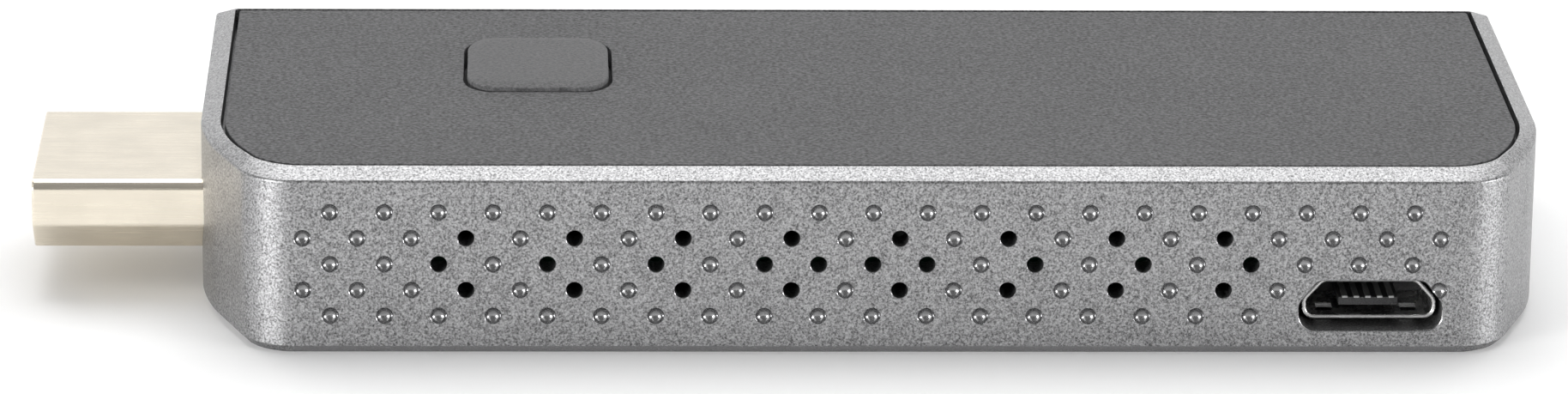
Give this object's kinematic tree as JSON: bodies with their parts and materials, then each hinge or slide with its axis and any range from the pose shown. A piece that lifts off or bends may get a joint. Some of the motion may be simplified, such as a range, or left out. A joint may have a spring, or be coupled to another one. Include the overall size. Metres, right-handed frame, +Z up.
{
  "type": "wireless presentation dongle",
  "caption": "Flat metal-cased wireless presentation dongle with an inset dark cover, a pairing button, a gold display plug at one end and a charging port in the perforated front.",
  "frame": {"origin": "middle of the body's footprint on the table, plug not counted", "axes": "+X along the body away from the plug, +Y from the perforated front to the back, +Z up"},
  "size_m": [0.0851, 0.0332, 0.011],
  "materials": {
    "blasted_aluminium": "fine bead-blasted and clear anodised",
    "cover_plastic": "fine matt texture",
    "button_plastic": "fine matt texture, slightly smoother than the cover",
    "switch_nylon": "moulded",
    "dome_steel": "thin rolled spring sheet",
    "plunger_nylon": "moulded",
    "frame_steel": "tinned sheet",
    "silvered_brass": "silver plated",
    "board_laminate": "green solder resist on glass laminate",
    "screw_steel": "zinc plated",
    "gilt_brass": "pale gold plating",
    "plug_polymer": "moulded",
    "gilt_contact": "gold plated",
    "port_steel": "nickel plated",
    "port_polymer": "moulded",
    "chip_epoxy": "moulded epoxy",
    "pad_silicone": "soft filled silicone",
    "sink_aluminium": "extruded",
    "tinned_lead": "tin plated",
    "radio_laminate": "blue solder resist on glass laminate",
    "can_steel": "tinned sheet",
    "antenna_ceramic": "fired ceramic",
    "coil_ferrite": "pressed ferrite",
    "capacitor_ceramic": "fired ceramic"
  },
  "bodies": {
    "body": {"housing": "blasted_aluminium", "top_cover": "cover_plastic", "switch_base": "switch_nylon", "switch_dome": "dome_steel", "switch_frame": "frame_steel", "switch_terminals": "silvered_brass", "main_board": "board_laminate", "board_screws": "screw_steel", "plug_shell": "gilt_brass", "plug_insulator": "plug_polymer", "plug_upper_contacts": "gilt_contact", "plug_lower_contacts": "gilt_contact", "port_shell": "port_steel", "port_insulator": "port_polymer", "port_contacts": "gilt_contact", "processor": "chip_epoxy", "thermal_pad": "pad_silicone", "heat_sink": "sink_aluminium", "memory_chips": "chip_epoxy", "flash_chip": "chip_epoxy", "flash_leads": "tinned_lead", "signal_buffer": "chip_epoxy", "radio_board": "radio_laminate", "radio_can": "can_steel", "chip_antennas": "antenna_ceramic", "power_coils": "coil_ferrite", "regulators": "chip_epoxy", "ceramic_capacitors": "capacitor_ceramic", "capacitor_ends": "tinned_lead", "crystal_can": "can_steel"},
    "button": {"button_cap": "button_plastic", "switch_plunger": "plunger_nylon"}
  },
  "joints": [
    {"name": "button_press", "type": "slide", "parent": "body", "child": "button", "axis": [0, 0, -1], "range_m": [0, 0.00025], "stiffness_N_per_m": 2000, "springref_m": -0.0001, "deforming": ["switch_dome"]}
  ]
}
